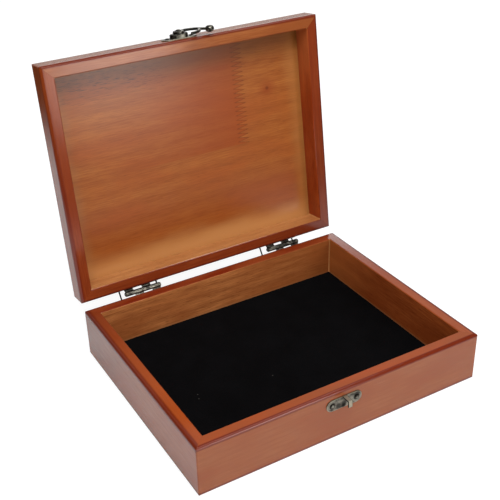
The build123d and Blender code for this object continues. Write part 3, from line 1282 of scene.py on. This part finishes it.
@dataclass(frozen=True)
class Lamp:
    """A softbox: where it stands, what it looks at, its size and its power in watts."""

    name: str
    place: Point
    size: Pair
    power: float
    target: Point = (0.0, 0.05, 0.08)
    in_gloss: bool = True

    def hang_up(self) -> None:
        """Adds the softbox to the scene, unseen by the camera itself."""
        lamp = bpy.data.lights.new(self.name, "AREA")
        lamp.shape = "RECTANGLE"
        lamp.size, lamp.size_y = self.size
        lamp.energy = self.power
        stand = bpy.data.objects.new(self.name, lamp)
        bpy.context.scene.collection.objects.link(stand)
        aim = Vector(self.target) - Vector(self.place)
        turn = aim.to_track_quat("-Z", "Y").to_matrix().to_4x4()
        stand.matrix_world = Matrix.Translation(Vector(self.place)) @ turn
        stand.visible_camera = False
        stand.visible_glossy = self.in_gloss


LAMPS = (
    Lamp("key_softbox", (-0.20, -0.45, 1.25), (0.8, 0.7), 11.0),
    Lamp("front_softbox", (0.45, -1.25, 0.17), (0.30, 0.30), 1.25),
    Lamp("upper_softbox", (0.45, -1.25, 0.48), (0.30, 0.26), 1.9),
    Lamp("over_softbox", (0.50, -0.30, 1.25), (0.75, 0.18), 1.6),
    Lamp("fill_softbox", (0.0, -1.30, 0.30), (0.9, 0.5), 1.2, in_gloss=False),
    Lamp("back_softbox", (0.60, 1.20, 0.57), (0.8, 0.3), 2.0, (0.0, 0.1, 0.2)),
)


@dataclass
class Studio:
    """The camera, the white floor, the softboxes and the pale room."""

    camera_place: Point = (-0.31189, -0.50292, 0.44516)
    heading: float = radians(29.99)
    pitch: float = radians(-29.86)
    roll: float = radians(-1.37)
    focal_pixels: float = 923.52
    frame_pixels: int = 500
    sensor_width: float = 36.0  # millimetres
    floor_size: float = 12.0
    floor_drop: float = 0.0002
    paper_white: float = 0.8
    paper_fibre: float = 1 / 600  # drawn coarser than real fibre, so that it shows
    paper_height: float = 0.00005
    glow: float = 0.85
    seen_white: float = 0.3
    pool_centre: Point = (-0.10, 0.10, 0.0)
    pool_reach: Pair = (0.35, 0.62)
    # Painted pool of light on the floor as gloss sees it: white near the object, dark
    # further off.
    painted_light_pool: Pair = (0.88, 0.01)
    room_light: float = 0.40
    backdrop_heading: Point = (0.40, 0.91, 0.10)
    backdrop_reach: Pair = (0.50, 0.82)
    backdrop_light: Pair = (0.05, 0.42)

    def place_camera(self) -> None:
        """Puts the camera where the photograph was taken from."""
        camera = bpy.data.cameras.new("camera")
        camera.sensor_width = self.sensor_width
        camera.lens = self.focal_pixels / self.frame_pixels * self.sensor_width
        camera.clip_start = 0.01
        stand = bpy.data.objects.new("camera", camera)
        bpy.context.scene.collection.objects.link(stand)
        turn = (
            Matrix.Rotation(-self.heading, 4, "Z")
            @ Matrix.Rotation(pi / 2 + self.pitch, 4, "X")
            @ Matrix.Rotation(self.roll, 4, "Z")
        )
        stand.matrix_world = Matrix.Translation(Vector(self.camera_place)) @ turn
        bpy.context.scene.camera = stand

    def lay_floor(self) -> None:
        """Lays the white floor, which keeps the object's shadow.

        It is matt white paper to the light on other things. To the camera it is
        paper that glows to a full white, and to gloss it is paper with a painted
        pool of light round the object, dark further off.
        """
        bpy.ops.object.select_all(action="DESELECT")
        bpy.ops.mesh.primitive_plane_add(
            size=self.floor_size, location=(0, 0, -self.floor_drop)
        )
        floor = bpy.context.object
        floor.name = "floor"
        material, graph = new_material("matt_white_paper")
        here = graph.add("TexCoord")["Object"]
        noise = {"Vector": here, "Scale": 1 / self.paper_fibre, "Detail": 3.0}
        fibres = graph.add("TexNoise", noise)["Fac"]
        relief = {"Height": fibres, "Distance": self.paper_height}
        matt = {
            "Color": (*(self.paper_white,) * 3, 1.0),
            "Normal": graph.add("Bump", relief)[0],
        }
        paper = graph.add("BsdfDiffuse", matt)[0]
        camera = graph.add("LightPath")["Is Camera Ray"]
        # Painted pool of light: to gloss the paper is white round the object and dark
        # further off.
        away = graph.add("VectorMath", (here, self.pool_centre), operation="DISTANCE")
        pool = (away["Value"], *self.pool_reach, *self.painted_light_pool)
        in_gloss = graph.add("MapRange", pool, **SOFT)[0]
        ends = {0: camera, 2: in_gloss, 3: self.seen_white}
        whiteness = graph.add("Mix", ends, data_type="FLOAT")[0]
        shadow_catch = graph.add("BsdfDiffuse", (whiteness,))[0]
        glow = graph.add("Emission", (WHITE, graph.overlap(camera, self.glow)))[0]
        pale = graph.add("AddShader", (shadow_catch, glow))[0]
        floor_paper = graph.add("MixShader", (self._seen(graph), paper, pale))[0]
        graph.add("OutputMaterial", (floor_paper,))
        dress(floor, material)

    def _seen(self, graph: Graph) -> Socket:
        """Tells what camera, gloss and glass see from the light on other things.

        Args:
            graph: The node tree of the floor or of the world.

        Returns:
            1 for camera, gloss and glass, and 0 for other light.
        """
        rays = graph.add("LightPath")
        direct = (rays["Is Camera Ray"], rays["Is Glossy Ray"])
        gloss = graph.add("Math", direct, operation="MAXIMUM")[0]
        clear = (gloss, rays["Is Transmission Ray"])
        return graph.add("Math", clear, operation="MAXIMUM")[0]

    def light_room(self) -> None:
        """Hangs the softboxes and lights the room, white behind the object."""
        world = bpy.data.worlds.new("studio")
        bpy.context.scene.world = world
        world.use_nodes = True
        world.node_tree.nodes.clear()
        graph = Graph(world.node_tree)
        direction = graph.add("TexCoord")["Generated"]
        ahead = (direction, self.backdrop_heading)
        facing = graph.add("VectorMath", ahead, operation="DOT_PRODUCT")["Value"]
        backdrop = (facing, *self.backdrop_reach, *self.backdrop_light)
        sweep = graph.add("MapRange", backdrop, **SOFT)[0]
        camera = graph.add("LightPath")["Is Camera Ray"]
        white = graph.add("Math", (camera, sweep), operation="MAXIMUM")[0]
        light, shown = (
            graph.add("Background", (WHITE, strength))[0]
            for strength in (self.room_light, white)
        )
        room = graph.add("MixShader", (self._seen(graph), light, shown))[0]
        graph.add("OutputWorld", (room,))
        for lamp in LAMPS:
            lamp.hang_up()

    def set_up(self) -> None:
        """Readies the whole studio."""
        self.place_camera()
        self.lay_floor()
        self.light_room()
        bpy.context.scene.view_settings.view_transform = "Standard"
        log.info("studio is ready")


def main() -> None:
    """Loads the frame, dresses the object and sets up the studio round it."""
    logging.basicConfig(level=logging.INFO, format="%(name)s: %(message)s")
    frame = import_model()
    nodes = frame["nodes"]
    hang = Hang()
    Studio().set_up()
    Tray(nodes, hang).dress_all()
    Lid(nodes, hang).dress_all()
    Lining(nodes).dress_all()
    Hardware(nodes, hang).dress_all()


if __name__ == "__main__":
    main()
